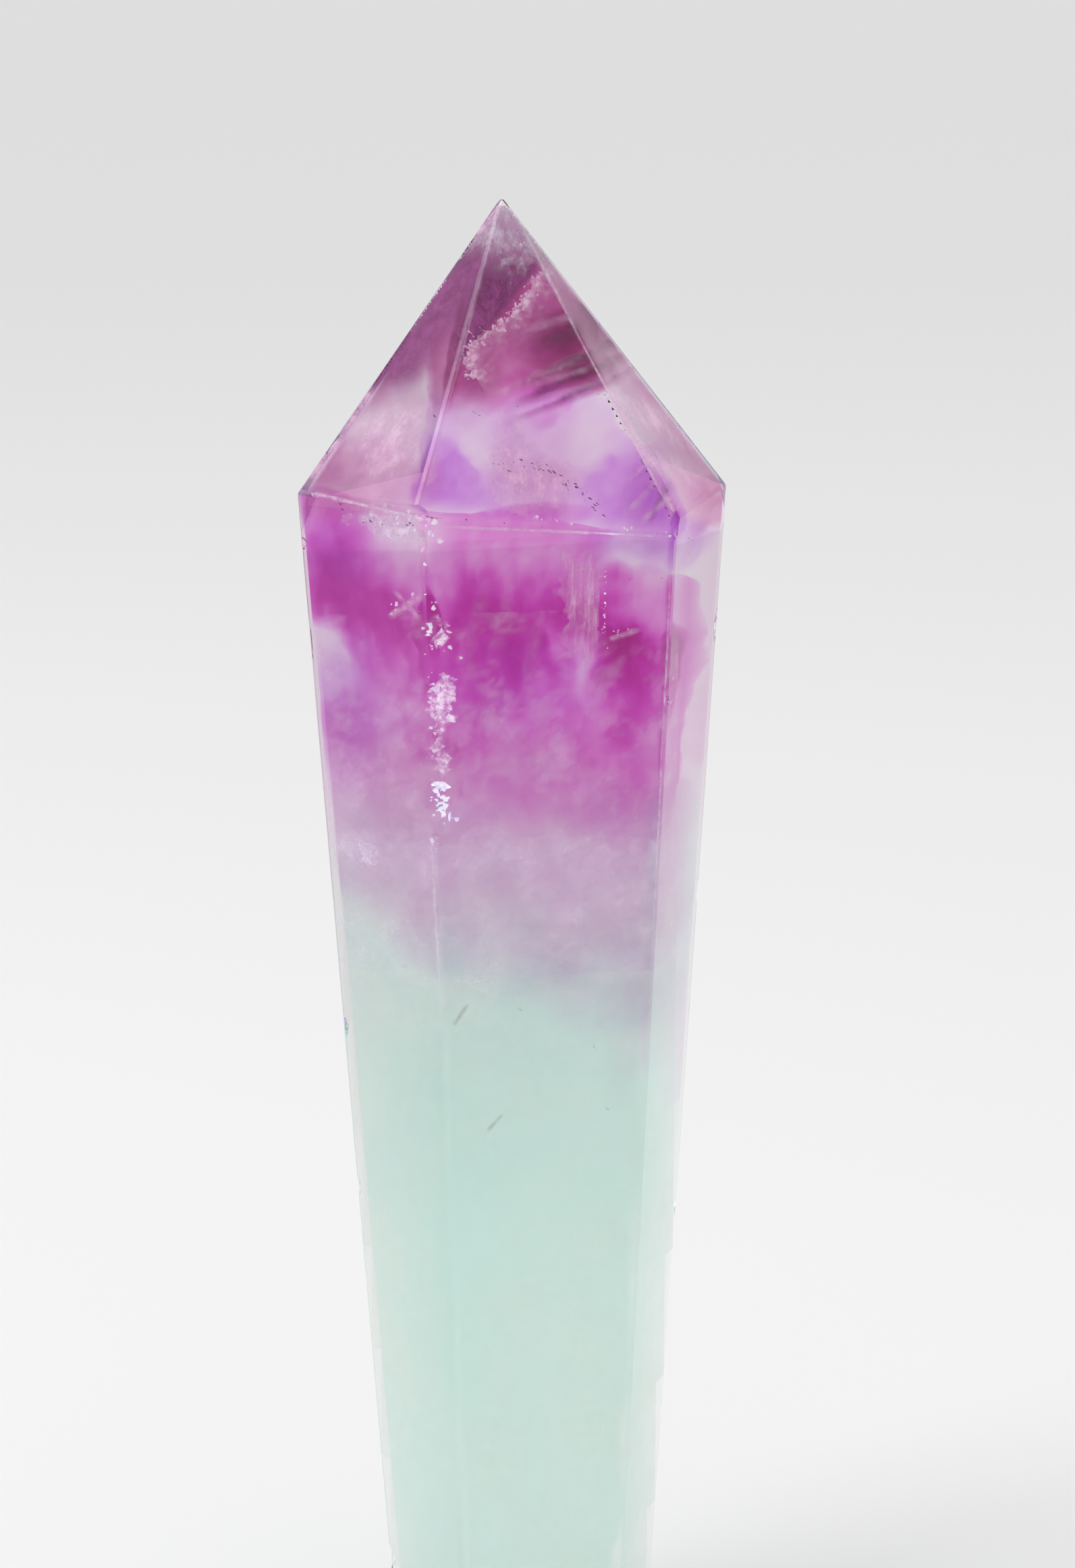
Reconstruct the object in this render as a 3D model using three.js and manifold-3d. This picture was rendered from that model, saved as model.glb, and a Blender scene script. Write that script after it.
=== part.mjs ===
// A polished point of watermelon fluorite: one natural stone, cut and lapped by hand.
//
// The stone is a six-sided column that is widest at its girdle and narrows to a small flat foot.
// Six slanting facets rise from the girdle to the tip. As on any hand-lapped stone the facets do not
// quite agree: each one meets its column face at its own height, so the girdle steps at the corners.
// Every edge is eased by a narrow bevel, and the soft mineral has flaked along its edges.
//
// Millimetres, +Z up, origin in the middle of the stone's outline, on the surface it stands on.

import * as THREE from "three";
import { mergeVertices } from "three/addons/utils/BufferGeometryUtils.js";
import Module from "manifold-3d";

const wasm = await Module();
wasm.setup();

// ---------------------------------------------------------------- driving dimensions

const TIP = new THREE.Vector3(-0.72, 0.21, 84.0); // where the six slanting facets would meet
const OUTLINE_HEIGHT = 67.0; // height at which the column's outline below is drawn
const EDGE_EASE = 0.055; // how far an edge is ground back, towards the middle of the stone
const FOOT_EASE = 0.12; // the foot's edge is eased more, so that it does not splinter
const TIP_BLUNT = 0.22; // how much of the needle-sharp tip is worn away
const TIP_TILT = 6; // degrees by which that worn spot leans

// The column's six corners at that height, seen from above and going round counter-clockwise.
const OUTLINE = [
  [-12.03, -2.64],
  [-5.06, -9.49],
  [9.01, -5.64],
  [12.05, 4.81],
  [9.01, 9.56],
  [-9.79, 6.21],
];

// The column face that starts at each corner of the outline. lean is in degrees from upright, and
// girdle gives the heights at which its slanting facet starts, at the face's first and last corner.
const FACES = [
  { name: "left", lean: 4.27, girdle: [67.72, 67.45] },
  { name: "front", lean: 3.23, girdle: [66.75, 65.45] },
  { name: "right", lean: 3.33, girdle: [66.63, 67.5] },
  { name: "back_right", lean: 3.7, girdle: [67.35, 66.0] },
  { name: "back", lean: 2.8, girdle: [65.0, 64.3] },
  { name: "back_left", lean: 4.0, girdle: [64.8, 67.6] },
];

// Flakes that broke from the upright edges, each on the edge after the named face and at a height.
// radius is the flake's curve, depth how far it bites, and tall stretches it upwards.
const COLUMN_FLAKES = [
  { after: "left", height: 67.2, radius: 1.25, depth: 0.5, tall: 0.9 },
  { after: "left", height: 65.6, radius: 0.6, depth: 0.22, tall: 1.5 },
  { after: "left", height: 57.0, radius: 0.9, depth: 0.2, tall: 1.5 },
  { after: "left", height: 52.1, radius: 0.6, depth: 0.2, tall: 0.8 },
  { after: "left", height: 49.2, radius: 0.45, depth: 0.16, tall: 1.2 },
  { after: "front", height: 66.1, radius: 0.6, depth: 0.26, tall: 1.6 },
  { after: "front", height: 56.3, radius: 0.36, depth: 0.2, tall: 1.1 },
  { after: "right", height: 44.0, radius: 0.8, depth: 0.24, tall: 1.3 },
  { after: "right", height: 13.5, radius: 0.5, depth: 0.2, tall: 1.0 },
  { after: "back_right", height: 59.0, radius: 1.1, depth: 0.35, tall: 1.4 },
  { after: "back_right", height: 25.0, radius: 0.5, depth: 0.2, tall: 1.2 },
  { after: "back", height: 64.6, radius: 0.7, depth: 0.3, tall: 1.0 },
  { after: "back", height: 36.5, radius: 0.9, depth: 0.3, tall: 1.0 },
  { after: "back_left", height: 28.0, radius: 0.6, depth: 0.22, tall: 1.3 },
  { after: "back_left", height: 6.0, radius: 0.9, depth: 0.3, tall: 1.2 },
];

// Flakes on the slanting edges, at a share of the way from the girdle up to the tip.
const TIP_FLAKES = [
  { after: "front", share: 0.86, radius: 0.55, depth: 0.18, tall: 1.0 },
  { after: "back_right", share: 0.55, radius: 0.6, depth: 0.2, tall: 1.0 },
  { after: "back", share: 0.8, radius: 0.45, depth: 0.18, tall: 1.0 },
];

const FLAKE_DETAIL = 3; // subdivisions of the ball that scoops a flake
const FLAKE_RIPPLE = 0.035; // height of a flake's shell-like ripples, as a share of its radius
const FLAKE_STRIKE = new THREE.Vector3(0.4, -0.3, 1).normalize(); // where ripples spread from
const COARSE_RIPPLES = 11; // ripples per radian round the ball, of the large kind
const FINE_RIPPLES = 23; // and of the small kind, which are FINE_SHARE as high
const FINE_SHARE = 0.6;
const BLOCK = 400; // side of the block that stands for the lap, larger than the stone all round

// ---------------------------------------------------------------- meshes to solids and back

function toSolid(geometry) {
  const bare = geometry.clone();
  for (const name of Object.keys(bare.attributes)) {
    if (name !== "position") bare.deleteAttribute(name);
  }
  const merged = mergeVertices(bare, 1e-5);
  const mesh = new wasm.Mesh({
    numProp: 3,
    vertProperties: new Float32Array(merged.attributes.position.array),
    triVerts: new Uint32Array(merged.index.array),
  });
  return new wasm.Manifold(mesh);
}

function toGeometry(solid) {
  const mesh = solid.getMesh();
  const positions = new Float32Array(mesh.numVert * 3);
  for (let i = 0; i < mesh.numVert; i++) {
    const start = i * mesh.numProp;
    positions.set(mesh.vertProperties.subarray(start, start + 3), i * 3);
  }
  const geometry = new THREE.BufferGeometry();
  geometry.setAttribute("position", new THREE.BufferAttribute(positions, 3));
  geometry.setIndex(new THREE.BufferAttribute(new Uint32Array(mesh.triVerts), 1));
  return geometry;
}

// ---------------------------------------------------------------- the planes of the cut

// A plane is { normal, reach }: the stone lies where normal . point <= reach.

const following = (index) => (index + 1) % FACES.length;
const preceding = (index) => (index + FACES.length - 1) % FACES.length;

function columnPlane(index) {
  const [x0, y0] = OUTLINE[index];
  const [x1, y1] = OUTLINE[following(index)];
  const along = new THREE.Vector2(x1 - x0, y1 - y0).normalize();
  const lean = THREE.MathUtils.degToRad(FACES[index].lean);
  const level = Math.cos(lean);
  const normal = new THREE.Vector3(along.y * level, -along.x * level, -Math.sin(lean));
  return { normal, reach: normal.dot(new THREE.Vector3(x0, y0, OUTLINE_HEIGHT)) };
}

const columnPlanes = FACES.map((_, index) => columnPlane(index));

// The point at a height on the upright edge between a column face and the following one.
function columnEdge(index, height) {
  const a = columnPlanes[index];
  const b = columnPlanes[following(index)];
  const reachA = a.reach - a.normal.z * height;
  const reachB = b.reach - b.normal.z * height;
  const det = a.normal.x * b.normal.y - a.normal.y * b.normal.x;
  const x = (reachA * b.normal.y - reachB * a.normal.y) / det;
  const y = (a.normal.x * reachB - b.normal.x * reachA) / det;
  return new THREE.Vector3(x, y, height);
}

// A slanting facet runs from its two girdle points up to the tip.
function tipPlane(index) {
  const [firstHeight, lastHeight] = FACES[index].girdle;
  const first = columnEdge(preceding(index), firstHeight);
  const last = columnEdge(index, lastHeight);
  const normal = last.clone().sub(first).cross(TIP.clone().sub(first)).normalize();
  return { normal, reach: normal.dot(first) };
}

const tipPlanes = FACES.map((_, index) => tipPlane(index));
const footPlane = { normal: new THREE.Vector3(0, 0, -1), reach: 0 };

const between = (a, b) => a.normal.clone().add(b.normal).normalize();

// ---------------------------------------------------------------- lapping

// Lays a block face down on the plane and takes away what it covers.
function lap(stone, { normal, reach }) {
  const block = new THREE.BoxGeometry(BLOCK, BLOCK, BLOCK);
  block.translate(0, 0, BLOCK / 2);
  const up = new THREE.Vector3(0, 0, 1);
  block.applyQuaternion(new THREE.Quaternion().setFromUnitVectors(up, normal));
  block.translate(normal.x * reach, normal.y * reach, normal.z * reach);
  return stone.subtract(toSolid(block));
}

// How far the stone reaches in a direction.
function farthest(stone, direction) {
  const mesh = stone.getMesh();
  const corner = new THREE.Vector3();
  let reach = -Infinity;
  for (let i = 0; i < mesh.numVert; i++) {
    corner.fromArray(mesh.vertProperties, i * mesh.numProp);
    reach = Math.max(reach, direction.dot(corner));
  }
  return reach;
}

function lapFaces() {
  const blank = new THREE.BoxGeometry(BLOCK, BLOCK, TIP.z);
  blank.translate(0, 0, TIP.z / 2);
  return [...columnPlanes, ...tipPlanes].reduce(lap, toSolid(blank));
}

// Grinds a narrow bevel on every edge. Each is measured from the sharp stone, in any order.
function easeEdges(sharp) {
  let stone = sharp;
  FACES.forEach((_, index) => {
    const column = columnPlanes[index];
    const tip = tipPlanes[index];
    const edges = [
      [column, columnPlanes[following(index)], EDGE_EASE],
      [tip, tipPlanes[following(index)], EDGE_EASE],
      [column, tip, EDGE_EASE],
      [column, footPlane, FOOT_EASE],
    ];
    for (const [a, b, depth] of edges) {
      const normal = between(a, b);
      stone = lap(stone, { normal, reach: farthest(sharp, normal) - depth });
    }
  });
  return stone;
}

function bluntTip(stone) {
  const tilt = THREE.MathUtils.degToRad(TIP_TILT);
  const normal = new THREE.Vector3(0, 0, 1).applyAxisAngle(new THREE.Vector3(1, 0, 0), tilt);
  return lap(stone, { normal, reach: normal.dot(TIP) - TIP_BLUNT });
}

// ---------------------------------------------------------------- flakes

// A rippled ball, pushed into an edge from outside. The edge point's height also turns the ball and
// shifts its ripples, so that no two flakes are alike.
function flakeBall(edgePoint, outward, { radius, depth, tall }) {
  const ball = new THREE.IcosahedronGeometry(radius, FLAKE_DETAIL);
  const points = ball.attributes.position;
  const point = new THREE.Vector3();
  const shift = edgePoint.z;
  for (let i = 0; i < points.count; i++) {
    point.fromBufferAttribute(points, i);
    const away = point.angleTo(FLAKE_STRIKE);
    const coarse = Math.sin(away * COARSE_RIPPLES + shift);
    const fine = FINE_SHARE * Math.sin(away * FINE_RIPPLES + 2 * shift);
    point.multiplyScalar(1 + FLAKE_RIPPLE * (coarse + fine));
    points.setXYZ(i, point.x, point.y, point.z * tall);
  }
  ball.rotateZ(shift);
  const centre = edgePoint.clone().addScaledVector(outward, radius - depth);
  ball.translate(centre.x, centre.y, centre.z);
  return toSolid(ball);
}

function flakeEdges(stone) {
  const indexOf = (name) => FACES.findIndex((face) => face.name === name);
  for (const flake of COLUMN_FLAKES) {
    const index = indexOf(flake.after);
    const outward = between(columnPlanes[index], columnPlanes[following(index)]);
    stone = stone.subtract(flakeBall(columnEdge(index, flake.height), outward, flake));
  }
  for (const flake of TIP_FLAKES) {
    const index = indexOf(flake.after);
    const outward = between(tipPlanes[index], tipPlanes[following(index)]);
    const girdlePoint = columnEdge(index, FACES[index].girdle[1]);
    stone = stone.subtract(flakeBall(girdlePoint.lerp(TIP, flake.share), outward, flake));
  }
  return stone;
}

// ---------------------------------------------------------------- the part

const geometry = toGeometry(flakeEdges(bluntTip(easeEdges(lapFaces()))));
geometry.computeBoundingBox();
const middle = geometry.boundingBox.getCenter(new THREE.Vector3());
geometry.translate(-middle.x, -middle.y, 0);

const fluorite = new THREE.MeshStandardMaterial({
  color: new THREE.Color(0.72, 0.55, 0.74),
  roughness: 0.06,
  metalness: 0.0,
  transparent: true,
  opacity: 0.6,
});

const stone = new THREE.Mesh(geometry, fluorite);
stone.name = "fluorite_point";

const part = new THREE.Group();
part.add(stone);

export default part;
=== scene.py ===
# %% [markdown]
# # A watermelon fluorite point
#
# The real object is one stone: clear fluorite, sawn and lapped by hand into a six-sided column with a
# six-sided tip. It is purple above and mint green below because the crystal took up different
# impurities as it grew. Nothing is painted on it. So the plan is to build it the way light meets it:
# a sharp clear stone first, then bodies of colour inside it, then the cracks and veils between them.
#
# The first three lines load the finished construction model. Its place and size never change here.

# %% Load the construction model
import math
import random
from collections import Counter

import bpy
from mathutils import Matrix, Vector, noise


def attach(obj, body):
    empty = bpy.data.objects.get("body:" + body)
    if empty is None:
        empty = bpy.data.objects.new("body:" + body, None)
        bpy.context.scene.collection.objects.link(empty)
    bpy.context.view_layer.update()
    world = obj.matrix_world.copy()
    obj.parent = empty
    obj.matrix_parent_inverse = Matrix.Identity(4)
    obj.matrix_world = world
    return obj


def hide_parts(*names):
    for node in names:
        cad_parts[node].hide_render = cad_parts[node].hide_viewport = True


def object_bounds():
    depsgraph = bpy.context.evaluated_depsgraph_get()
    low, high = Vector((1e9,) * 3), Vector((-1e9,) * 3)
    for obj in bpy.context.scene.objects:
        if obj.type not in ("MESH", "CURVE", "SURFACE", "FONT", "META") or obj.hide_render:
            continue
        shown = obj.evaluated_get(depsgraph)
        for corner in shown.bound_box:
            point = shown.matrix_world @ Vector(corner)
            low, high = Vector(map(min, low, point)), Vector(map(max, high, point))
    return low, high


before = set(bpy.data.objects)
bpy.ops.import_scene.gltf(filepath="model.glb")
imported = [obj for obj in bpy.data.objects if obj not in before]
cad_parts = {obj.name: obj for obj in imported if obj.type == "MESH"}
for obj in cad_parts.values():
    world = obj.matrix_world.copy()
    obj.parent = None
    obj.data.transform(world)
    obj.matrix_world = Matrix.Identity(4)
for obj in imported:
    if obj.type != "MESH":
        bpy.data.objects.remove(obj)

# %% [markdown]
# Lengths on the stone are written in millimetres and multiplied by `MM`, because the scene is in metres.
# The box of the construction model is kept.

MM = 0.001
cad_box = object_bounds()
low, high = (Vector(corner) for corner in cad_box)
print("construction model:", [round(side / MM, 1) for side in high - low], "mm")

# %% [markdown]
# ## Camera
#
# A small stone is best seen from close by through a long lens, which keeps its upright edges nearly
# straight. The lens follows from what it has to show: how many millimetres of stone fill the frame from
# top to bottom.

# %% Camera
SENSOR = 36.0  # millimetres along the frame's long side
AIM = Vector((1.29, 0.01, 50.9)) * MM
CAMERA_DISTANCE = 300.0 * MM
LOOK_DOWN = math.radians(8.5)
SHOWN_HEIGHT = 88.7 * MM  # what the frame's long side takes in at the aim point
lens = bpy.data.cameras.new("camera")
lens.sensor_width = SENSOR
lens.lens = SENSOR * CAMERA_DISTANCE / SHOWN_HEIGHT
lens.clip_start = 1.0 * MM
lens.clip_end = 1000.0
camera = bpy.data.objects.new("camera", lens)
bpy.context.scene.collection.objects.link(camera)
camera.location = AIM + CAMERA_DISTANCE * Vector((0.0, -math.cos(LOOK_DOWN), math.sin(LOOK_DOWN)))
camera.rotation_euler = (math.radians(90.0) - LOOK_DOWN, 0.0, 0.0)
bpy.context.scene.camera = camera
print("lens:", round(lens.lens, 1), "mm")

# %% [markdown]
# ## Light paths and colour
#
# In a clear stone a ray is bent at every face and bounces about inside, and each body of colour is two
# more surfaces to cross. With the usual limits Cycles gives up too soon and returns black, so they are
# raised. The Standard view shows colours as they are.

# %% Light paths and colour
BOUNCES = 24
CROSSINGS = 160
cycles = bpy.context.scene.cycles
for limit in ("max_bounces", "transmission_bounces", "glossy_bounces"):
    setattr(cycles, limit, BOUNCES)
cycles.transparent_max_bounces = CROSSINGS
bpy.context.scene.view_settings.view_transform = "Standard"
print("bounces:", BOUNCES, "and crossings:", CROSSINGS)

# %% [markdown]
# ## Writing materials as arithmetic
#
# A material is a graph of nodes, and as code it soon fills pages. Two small classes keep it short.
# `Recipe.add` makes any node: its settings are set first, then its sockets get values or links. It
# returns a `Wire`, one output socket, and `Wire` overloads the arithmetic operators, so `1 - mask * 0.5`
# adds the Math nodes that work it out.

# %% Recipe and Wire
class Wire:
    """One output socket, with arithmetic."""

    def __init__(self, recipe, socket):
        self.recipe = recipe
        self.socket = socket

    def math(self, operation, *terms):
        return self.recipe.add("Math", dict(enumerate(terms)), operation=operation)

    def __add__(self, other):
        return self.math("ADD", self, other)

    def __sub__(self, other):
        return self.math("SUBTRACT", self, other)

    def __rsub__(self, other):
        return self.math("SUBTRACT", other, self)

    def __mul__(self, other):
        return self.math("MULTIPLY", self, other)

    def __truediv__(self, other):
        return self.math("DIVIDE", self, other)

    def __rtruediv__(self, other):
        return self.math("DIVIDE", other, self)

    __radd__ = __add__
    __rmul__ = __mul__

    def clamped(self):
        return self.math("MINIMUM", self.math("MAXIMUM", self, 0.0), 1.0)


class Recipe:
    """The node graph of a material, or of a sky where the owners are worlds."""

    def __init__(self, name, owners=bpy.data.materials):
        self.owner = owners.new(name)
        self.owner.use_nodes = True
        self.tree = self.owner.node_tree
        self.tree.nodes.clear()

    def add(self, kind, inputs=None, output=0, **settings):
        node = self.tree.nodes.new("ShaderNode" + kind)
        for name, value in settings.items():
            if name == "stops":
                set_stops(node.color_ramp, value)
            else:
                setattr(node, name, value)
        for name, value in (inputs or {}).items():
            if isinstance(value, Wire):
                self.tree.links.new(value.socket, node.inputs[name])
            else:
                node.inputs[name].default_value = value
        return Wire(self, node.outputs[output]) if node.outputs else node

    def finished(self, **ends):
        """The material, once its graph ends in a surface or a volume."""
        self.add("OutputMaterial", ends)
        return self.owner


def set_stops(ramp, stops):
    while len(ramp.elements) < len(stops):
        ramp.elements.new(1.0)
    for element, (position, colour) in zip(ramp.elements, stops):
        element.position = position
        element.color = (*colour, 1.0)


# %% [markdown]
# ## Floor and light
#
# A plain pale floor runs to the horizon and a pale sky joins it. A clear stone shows mostly what is
# behind it, and a bright, even surrounding lets its colour glow. One broad lamp to the left and above
# gives the faces slightly different sheens.

# %% Floor, sky and lamp
FLOOR_SIZE = 400.0  # metres
FLOOR_DROP = 0.03 * MM  # under the foot, so that the two never flicker
FLOOR_COLOUR = (0.85, 0.845, 0.835)
SKY = ((0.0, (0.70, 0.695, 0.69)), (0.5, (0.86, 0.865, 0.88)))  # colours by the sine of the height


def add_floor():
    bpy.ops.object.select_all(action="DESELECT")
    bpy.ops.mesh.primitive_plane_add(size=FLOOR_SIZE, location=(0.0, 0.0, -FLOOR_DROP))
    floor = bpy.context.object
    floor.name = "floor"
    recipe = Recipe("floor_paper")
    surface = recipe.add("BsdfPrincipled", {"Base Color": (*FLOOR_COLOUR, 1.0), "Roughness": 0.75})
    floor.data.materials.append(recipe.finished(Surface=surface))
    return floor


def add_sky():
    """A pale dome, dimmer at the horizon, where it meets the floor."""
    recipe = Recipe("sky", bpy.data.worlds)
    direction = recipe.add("TexCoord", output="Generated")
    up = recipe.add("SeparateXYZ", {"Vector": direction}, output="Z")
    colour = recipe.add("ValToRGB", {"Fac": up}, stops=SKY)
    recipe.add("OutputWorld", {"Surface": recipe.add("Background", {"Color": colour})})
    bpy.context.scene.world = recipe.owner


floor = add_floor()
add_sky()
lamp = bpy.data.lights.new("broad_lamp", "AREA")
lamp.size = 0.5  # metres
lamp.energy = 3.0  # watts
holder = bpy.data.objects.new("broad_lamp", lamp)
bpy.context.scene.collection.objects.link(holder)
holder.location = (-0.5, -0.3, 0.7)
holder.rotation_euler = (AIM - holder.location).to_track_quat("-Z", "Y").to_euler()
print(floor.name, "is", FLOOR_SIZE, "m across")

# %% [markdown]
# ## Selecting and shaping
#
# Blender's operators act on whatever is selected, and loading leaves pieces selected. So every step
# starts by picking the one piece it works on. `cut` is the lapidary's saw: it bisects a closed piece and
# closes the cut.

# %% Helpers for shaping
def pick(*pieces):
    """Selects these pieces alone and makes the last one active."""
    bpy.ops.object.select_all(action="DESELECT")
    for piece in pieces:
        piece.select_set(True)
    bpy.context.view_layer.objects.active = pieces[-1]


def modify(piece, kind, **settings):
    modifier = piece.modifiers.new(kind.lower(), kind)
    for name, value in settings.items():
        setattr(modifier, name, value)
    pick(piece)
    bpy.ops.object.modifier_apply(modifier=modifier.name)


def edit(piece, action="SELECT"):
    """Edit mode on this piece alone, with all of it selected or nothing."""
    pick(piece)
    bpy.ops.object.mode_set(mode="EDIT")
    bpy.ops.mesh.select_all(action=action)


def end_edit():
    bpy.ops.object.mode_set(mode="OBJECT")


def cut(piece, planes):
    """Cuts a closed piece back to each plane: a point on it and its outward direction."""
    edit(piece)
    for point, outward in planes:
        bpy.ops.mesh.select_all(action="SELECT")
        bpy.ops.mesh.bisect(plane_co=point, plane_no=outward, use_fill=True, clear_outer=True)
    end_edit()


def join(name, pieces):
    pick(*pieces)
    bpy.ops.object.join()
    bpy.context.object.name = name
    return bpy.context.object


def add_grid(name, columns, rows):
    """A unit square of so many columns and rows, to be bent into shape."""
    bpy.ops.object.select_all(action="DESELECT")
    bpy.ops.mesh.primitive_grid_add(x_subdivisions=columns, y_subdivisions=rows, size=1.0)
    bpy.context.object.name = name
    return bpy.context.object


# %% [markdown]
# A sheet that is torn, or a body that is trimmed, leaves loose bits of a few faces. They are deleted, and
# so are the points where only two corners of a sheet touch, because thick walls can't meet in a point.

# %% Clearing scraps away
def delete_points(piece, unwanted):
    edit(piece, "DESELECT")
    bpy.ops.mesh.select_mode(type="VERT")
    end_edit()
    for number in unwanted:
        piece.data.vertices[number].select = True
    bpy.ops.object.mode_set(mode="EDIT")
    bpy.ops.mesh.delete(type="VERT")
    end_edit()


def open_pinches(piece):
    """Deletes points where two corners of a sheet touch, until none is left."""
    pinched = True
    while pinched:
        faces = Counter(number for face in piece.data.polygons for number in face.vertices)
        edges = Counter(number for edge in piece.data.edges for number in edge.vertices)
        pinched = [number for number in edges if edges[number] > faces[number] + 1]
        delete_points(piece, pinched)


def drop_crumbs(piece, fewest):
    """Deletes loose bits that have fewer faces than this."""
    mesh = piece.data
    leader = list(range(len(mesh.vertices)))

    def first(number):
        while leader[number] != number:
            leader[number] = leader[leader[number]]
            number = leader[number]
        return number

    for edge in mesh.edges:
        start, end = edge.vertices
        leader[first(start)] = first(end)
    faces = Counter(first(face.vertices[0]) for face in mesh.polygons)
    crumbs = [number for number in range(len(leader)) if faces[first(number)] < fewest]
    delete_points(piece, crumbs)


# %% [markdown]
# ## The stone
#
# The construction model's own mesh is loose triangles and is left alone. A copy of it is merged and its
# flat faces are joined up, one polygon to a facet. The tags that came with the copy are deleted, so that
# it counts as a piece of its own.

# %% A clean copy of the stone
NODE = "fluorite_point"
MERGE = 0.002 * MM
FLAT = math.radians(0.6)  # faces that meet at less than this are one facet


def add_stone():
    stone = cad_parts[NODE].copy()
    stone.data = stone.data.copy()
    bpy.context.scene.collection.objects.link(stone)
    stone.name = "polished_stone"
    stone.parent = None
    for key in list(stone.keys()):
        del stone[key]
    edit(stone)
    bpy.ops.mesh.remove_doubles(threshold=MERGE)
    bpy.ops.mesh.dissolve_limited(angle_limit=FLAT)
    end_edit()
    bpy.ops.mesh.customdata_custom_splitnormals_clear()
    bpy.ops.object.shade_flat()
    stone.data.materials.clear()
    return stone


stone = add_stone()
print("stone:", len(stone.data.polygons), "faces")

# %% [markdown]
# What lies inside the stone has to stay under its skin. A mould is a block cut with the same big facets,
# each moved in by the same small depth. No two bodies may share a wall, or a ray can't tell which one it
# has entered, so each gets a mould of its own depth.

# %% The mould for what lies inside
BIG_FACET = 30.0 * MM * MM  # a smaller facet doesn't shape the mould
SAME_PLANE = 0.05 * MM
SAME_WAY = 0.999  # least product of two unit normals that point the same way


def find_facets():
    """A point on each big facet and its normal; a facet in two pieces counts once."""
    found = []
    for face in stone.data.polygons:
        known = any(
            normal.dot(face.normal) > SAME_WAY and abs((face.center - centre).dot(normal)) < SAME_PLANE
            for centre, normal in found
        )
        if face.area > BIG_FACET and not known:
            found.append((face.center.copy(), face.normal.copy()))
    return found


def add_mould(depth):
    bpy.ops.object.select_all(action="DESELECT")
    bpy.ops.mesh.primitive_cube_add(size=1.0, location=(low + high) / 2, scale=(high - low) * 1.2)
    mould = bpy.context.object
    mould.name = "mould"
    bpy.ops.object.transform_apply(location=True, rotation=True, scale=True)
    cut(mould, [(centre - normal * depth, normal) for centre, normal in facets])
    return mould


facets = find_facets()
print("facets:", len(facets))

# %% [markdown]
# Three facets face the camera, and everything inside is placed by them. A ray is bent where it comes in,
# so it crosses a layer on a slant. `slant` works out from the law of refraction how far back a layer
# under a facet has to reach, so that the same depth of colour gives the same tint under all three.

# %% The front of the stone
FLUORITE_IOR = 1.434
FACES_FRONT = -0.1  # a normal whose y is below this faces the camera


def slant(normal):
    """How far straight back a layer under this facet reaches, for each millimetre a ray goes back in it."""
    ray = Vector((0.0, math.cos(LOOK_DOWN), -math.sin(LOOK_DOWN)))
    against = -ray.dot(normal)
    bent = math.sqrt(1.0 - (1.0 - against * against) / FLUORITE_IOR ** 2)
    inside = ray / FLUORITE_IOR + normal * (against / FLUORITE_IOR - bent)
    return inside.dot(normal) / (normal.y * inside.y)


def front_at(x, z, skin):
    """Where the front of a mould with this much skin lies, and the slant of its facet there."""
    return max(
        (centre.y + ((centre.x - x) * normal.x + (centre.z - z) * normal.z - skin) / normal.y, slanted)
        for centre, normal, slanted in front_facets
    )


front_facets = [(centre, normal, slant(normal)) for centre, normal in facets if normal.y < FACES_FRONT]
print("slants of the front facets:", [round(slanted, 2) for _, _, slanted in front_facets])

# %% [markdown]
# ## Colour held in the stone
#
# Coloured crystal takes some light away for every millimetre it is crossed. How much is given here by the
# colour that white light has after a known depth; the rate of loss follows from a logarithm. Each body
# of colour is a closed shape that only absorbs: its surface is fully transparent and has no shine,
# because inside one crystal there is no boundary to see.

# %% Absorbing material
def absorb(recipe, colour):
    """Volume node that turns white light to colour["through"] after colour["depth"] millimetres."""
    losses = [-math.log(share) / (colour["depth"] * MM) for share in colour["through"]]
    density = max(losses)
    kept = [1.0 - loss / density for loss in losses]
    return recipe.add("VolumeAbsorption", {"Color": (*kept, 1.0), "Density": density})


def colour_body_material(name, colour):
    recipe = Recipe(name)
    clear = recipe.add("BsdfTransparent", {"Color": (1.0, 1.0, 1.0, 1.0)})
    return recipe.finished(Surface=clear, Volume=absorb(recipe, colour))


# %% [markdown]
# Six colours are enough for the whole stone; their depths are in millimetres. Where two bodies overlap,
# the light loses to both, as it does in the crystal.

# %% Colours of the crystal
MAGENTA = {"through": (0.62, 0.022, 0.45), "depth": 7.0}
VIOLET = {"through": (0.63, 0.20, 0.84), "depth": 5.0}
PLUM = {"through": (0.26, 0.04, 0.175), "depth": 2.2}
ROSE = {"through": (0.64, 0.16, 0.43), "depth": 4.0}
LILAC = {"through": (0.79, 0.46, 0.73), "depth": 12.0}
MINT = {"through": (0.61, 0.89, 0.81), "depth": 13.0}
magenta_left = [round(share ** (1.0 / MAGENTA["depth"]), 2) for share in MAGENTA["through"]]
print("white light after a millimetre of magenta:", magenta_left)

# %% [markdown]
# A body of colour is a relief: a sheet as wide as the stone, pushed back from the front facets by as much
# as the colour is deep at each place, and closed to a solid. Where the depth runs out to nothing, the
# colour fades away without an edge. The depth is a function of the place, made of soft bands and patches
# and stirred by noise, which gives it cloudy borders.

# %% Soft shapes
def rise(value, start, end):
    """0 up to start, 1 from end on, and smooth between them."""
    share = min(max((value - start) / (end - start), 0.0), 1.0)
    return share * share * (3.0 - 2.0 * share)


def band(z, bottom, top, soft_bottom, soft_top):
    """1 between two heights, fading over the given lengths around each."""
    lower = rise(z, bottom - soft_bottom / 2, bottom + soft_bottom / 2)
    return lower * (1.0 - rise(z, top - soft_top / 2, top + soft_top / 2))


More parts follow.
